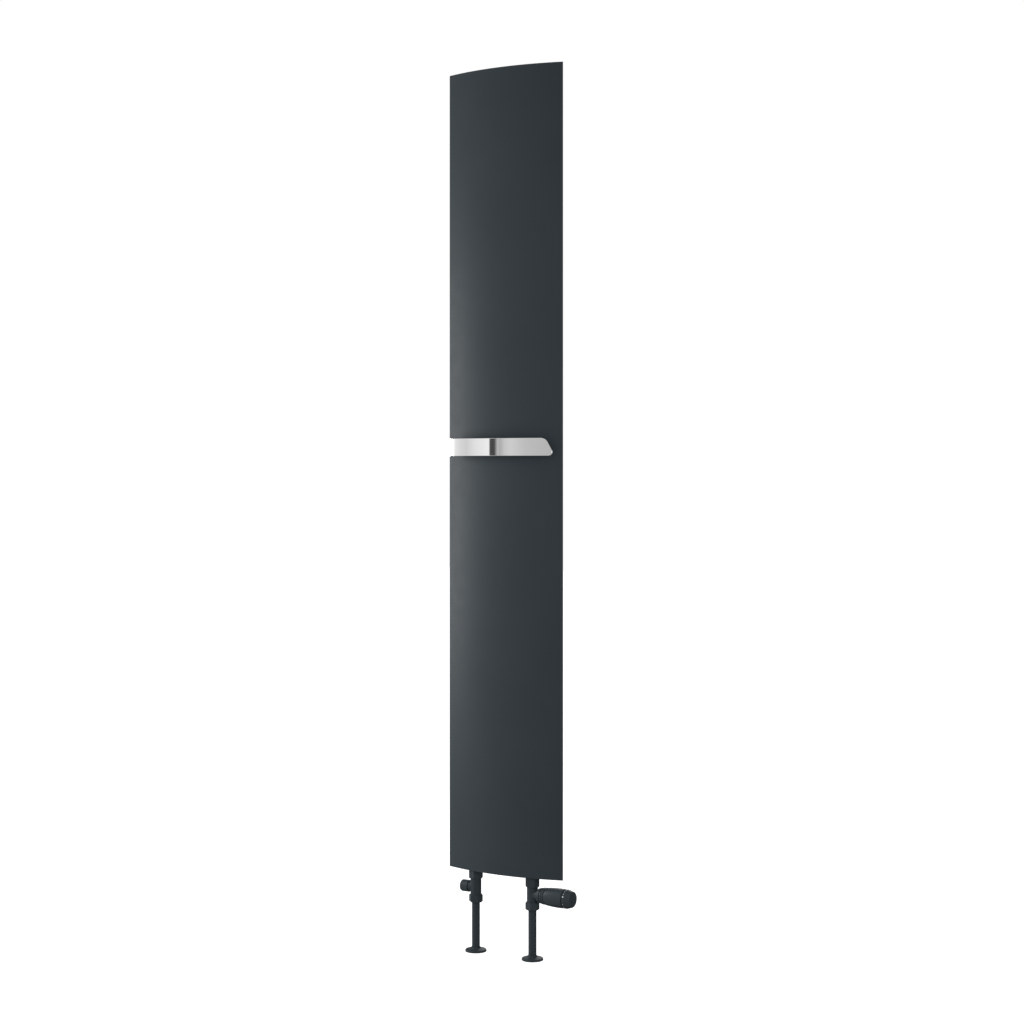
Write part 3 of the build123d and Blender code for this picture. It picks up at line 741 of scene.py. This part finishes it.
# ---- thermostatic head --------------------------------------------------
def build_ring_nut():
    corners = [(15.0, 26.4), (16.4, 26.4), (17.6, 27.6), (18.3, 29.4), (18.3, 31.2), (17.3, 31.5),
               (17.3, 32.1), (18.6, 32.5), (18.7, 36.2), (17.6, 36.7), (17.6, 37.4), (18.7, 37.9),
               (18.8, 39.2), (12.6, 39.2), (12.6, 37.6), (15.0, 37.6)]
    nut = lathe("trv_ring_nut", corners, RING_NUT_EDGE, AT_HEAD)
    stand_for(nut, "radiator", "trv_union_ring")


def build_shell():
    swell = arc_through((19.3, 40.3), (HEAD_RADIUS, 62.0), (HEAD_RADIUS, HEAD_END - 4), 26)
    corners = [(6.5, 36.2), (14.6, 36.2), (14.6, 37.4), (12.5, 37.4), (12.5, 39.5), (18.7, 39.5),
               *swell, (20.8, HEAD_END), (HEAD_BORE, HEAD_END), (HEAD_BORE, 45.0), (6.5, 45.0)]
    radii = [0.15, 0.15, 0.15, 0.15, 0.15, 0.3] + [0.0] * len(swell) + [0.8, 0.2, 0.3, 0.2]
    shell = lathe("trv_head_shell", corners, radii, AT_HEAD)
    stand_for(shell, "radiator", "trv_housing")


def build_knob():
    corners = [(8.06, KNOB_HUB_START), (11, KNOB_HUB_START), (11, KNOB_FLOOR), (14.2, KNOB_FLOOR),
               (14.2, 78), (16.4, 78), (16.4, 84.3), (KNOB_GROOVE_RADIUS, 84.3),
               (KNOB_GROOVE_RADIUS, KNOB_START), (KNOB_RADIUS, KNOB_START), (KNOB_RADIUS, 91.5),
               (17.06, KNOB_END), (FACE_HOLE_RADIUS, KNOB_END), (FACE_HOLE_RADIUS, KNOB_FLOOR),
               (8.06, KNOB_FLOOR)]
    radii = [0.15, 0.15, 0.3, 0.3, 0.15, 0.15, 0.15, 0.15, 0.2, 0.5, 3.0, 3.2, 0.1, 0.1, 0.2]
    knob = lathe("trv_turning_knob", corners, radii, AT_HEAD)
    stand_for(knob, "trv_knob", "trv_knob")


# ---- lockshield cap -----------------------------------------------------
def build_cap():
    start, end = CAP_ENDS
    corners = [(CAP_BORE, start), (CAP_RADIUS, start), (CAP_RADIUS, end), (FACE_HOLE_RADIUS, end),
               (FACE_HOLE_RADIUS, CAP_FLOOR), (CAP_BORE, CAP_FLOOR)]
    cap = lathe("lock_push_cap", corners, [0.15, 0.5, 2.6, 0.1, 0.1, 0.3], AT_CAP)
    stand_for(cap, "lock_cap", "lock_cap")


# ---- studio -------------------------------------------------------------
FLOOR_REACH = 14.0
FLOOR_BELOW = 0.0002
FLOOR_LOOK = {
    "Base Color": (0.5, 0.5, 0.5, 1),
    "Roughness": 0.9,
    "Specular IOR Level": 0.0,
    "Emission Color": (1, 1, 1, 1),
    "Emission Strength": 0.93,
}


def build_floor():
    """Flat white floor for the camera. Reflections and bounced light pass through it."""
    corners = [(x * FLOOR_REACH, y * FLOOR_REACH, 0) for x, y in ((-1, -1), (1, -1), (1, 1), (-1, 1))]
    mesh = bpy.data.meshes.new("floor")
    mesh.from_pydata(corners, [], [(0, 1, 2, 3)])
    floor = placed("floor", mesh)
    floor.location.z = FLOOR_Z - FLOOR_BELOW
    m = Mat("floor")
    for socket, value in FLOOR_LOOK.items():
        m.shader.inputs[socket].default_value = value
    mesh.materials.append(m.material)
    floor.visible_diffuse = False
    floor.visible_glossy = False


# Brightness of the studio at the sheet's own level, by degrees right of straight to the
# front. What lies past either end is as bright as that end. The colour ramp holds the
# levels as shares of TOP_LEVEL.
ROOM_BAND = ((-80, 0.7), (-74, 1.05), (-60.3, 1.45), (-58.6, 1.0), (-55, 0.88), (-50.5, 0.80), (-44, 0.98),
             (-35.0, 1.12), (-34.6, 0.08), (-31.6, 0.08), (-29.6, 0.62), (-28.2, 0.53), (-25.5, 0.72),
             (-22, 0.80), (-13, 0.66), (0, 0.60), (20, 0.55))
TOP_LEVEL = 2.0
BAND_HEIGHT = 0.75
CEILING = 0.45
FLOOR_GLOW = 0.3
# In reflections the part behind the wall is dimmed, more and more between these angles.
BEHIND_DEGS = (92, 112)
BEHIND_DIMMING = 0.85
# Each light: degrees right of the sheet's front, distance, height above its middle,
# width and height in metres, and watts.
LIGHTS = {
    "window": (-69.2, 1.667, -0.02, 0.306, 1.2, 18.8),
    "fill": (50, 1.8, 0.1, 1.2, 0.8, 8.0),
    "back_fill": (-160, 2.2, 0.2, 1.2, 1.6, 14.0),
}
CAMERA_TURN_DEG = 32.28
CAMERA_DISTANCE = 4.394
CAMERA_RISE = 0.009
CAMERA_ASIDE = 0.0153
CAMERA_LENS = 69.03
CAMERA_SHIFT_UP = -0.0439
SENSOR_WIDTH = 36.0


def soft_light(name, turn_deg, distance, height, wide, tall, watts):
    """Upright rectangular light that faces the sheet's middle line from one side."""
    turn = math.radians(turn_deg)
    data = bpy.data.lights.new(name, "AREA")
    data.shape = "RECTANGLE"
    data.size, data.size_y = wide, tall
    data.energy = watts
    light = placed(name, data)
    light.location = (distance * math.sin(turn), CHORD_Y - distance * math.cos(turn), MIDDLE_Z + height)
    light.rotation_euler = (math.pi / 2, 0, turn)


def build_lights():
    for name, values in LIGHTS.items():
        soft_light(name, *values)


def build_world():
    """White to the eye; for light, a soft room, a bright side window and a dark slit."""
    world = bpy.data.worlds.new("studio")
    bpy.context.scene.world = world
    world.use_nodes = True
    tree = world.node_tree
    nodes, link = tree.nodes, tree.links.new
    nodes.clear()

    def math_node(operation, *values):
        made = nodes.new("ShaderNodeMath")
        made.operation = operation
        for socket, value in zip(made.inputs, values):
            if isinstance(value, (int, float)):
                socket.default_value = value
            else:
                link(value, socket)
        return made.outputs[0]

    def bell(value, width):
        share = math_node("DIVIDE", value, width)
        return math_node("EXPONENT", math_node("MULTIPLY", math_node("MULTIPLY", share, share), -1.0))

    place = nodes.new("ShaderNodeTexCoord").outputs["Generated"]
    split = nodes.new("ShaderNodeSeparateXYZ")
    link(place, split.inputs[0])
    x, y, z = split.outputs
    turn = math_node("ARCTAN2", x, math_node("MULTIPLY", y, -1.0))
    ramp = nodes.new("ShaderNodeValToRGB")
    start, end = ROOM_BAND[0][0], ROOM_BAND[-1][0]
    past_start = math_node("SUBTRACT", turn, math.radians(start))
    link(math_node("DIVIDE", past_start, math.radians(end - start)), ramp.inputs["Fac"])
    stops = ramp.color_ramp.elements
    for degs, _ in ROOM_BAND[1:-1]:
        stops.new((degs - start) / (end - start))
    for stop, (degs, level) in zip(stops, ROOM_BAND):
        shown = level / TOP_LEVEL
        stop.position = (degs - start) / (end - start)
        stop.color = (shown, shown, shown, 1)
    level_here = math_node("MULTIPLY", ramp.outputs["Color"], TOP_LEVEL)
    band = math_node("MULTIPLY", level_here, bell(z, BAND_HEIGHT))
    ceiling = math_node("MULTIPLY", math_node("MAXIMUM", z, 0.0), CEILING)
    below = math_node("MULTIPLY", math_node("MINIMUM", z, 0.0), -FLOOR_GLOW)
    total = math_node("ADD", band, math_node("ADD", ceiling, below))
    behind = nodes.new("ShaderNodeMapRange")
    link(math_node("ABSOLUTE", turn), behind.inputs["Value"])
    behind.inputs["From Min"].default_value = math.radians(BEHIND_DEGS[0])
    behind.inputs["From Max"].default_value = math.radians(BEHIND_DEGS[1])
    path = nodes.new("ShaderNodeLightPath").outputs
    mirrored = math_node("MULTIPLY", behind.outputs["Result"], path["Is Glossy Ray"])
    dim = math_node("MULTIPLY", mirrored, BEHIND_DIMMING)
    lit = nodes.new("ShaderNodeBackground")
    link(math_node("MULTIPLY", total, math_node("SUBTRACT", 1.0, dim)), lit.inputs["Strength"])
    seen = nodes.new("ShaderNodeBackground")
    seen.inputs["Color"].default_value = (1, 1, 1, 1)
    mix = nodes.new("ShaderNodeMixShader")
    link(path["Is Camera Ray"], mix.inputs[0])
    link(lit.outputs[0], mix.inputs[1])
    link(seen.outputs[0], mix.inputs[2])
    link(mix.outputs[0], nodes.new("ShaderNodeOutputWorld").inputs[0])


def build_camera():
    """Level camera just above the sheet's middle, to the right of the wall's normal."""
    turn = math.radians(CAMERA_TURN_DEG)
    back = Vector((math.sin(turn), -math.cos(turn), 0))
    right = Vector((math.cos(turn), math.sin(turn), 0))
    data = bpy.data.cameras.new("camera")
    data.sensor_width = SENSOR_WIDTH
    data.lens = CAMERA_LENS
    data.shift_y = CAMERA_SHIFT_UP
    camera = placed("camera", data)
    centre = Vector((0, CHORD_Y, MIDDLE_Z + CAMERA_RISE))
    camera.location = centre + back * CAMERA_DISTANCE + right * CAMERA_ASIDE
    camera.rotation_euler = (math.pi / 2, 0, turn)
    bpy.context.scene.camera = camera


bpy.context.scene.view_settings.view_transform = "Standard"
build_panel()
build_bar()
build_trv_body()
build_lock_body()
build_nuts()
build_pipes()
build_rosettes()
build_ring_nut()
build_shell()
build_knob()
build_cap()
for name, node in NODES.items():
    paint(node, SLOT_OF[name])
build_floor()
build_world()
build_lights()
build_camera()
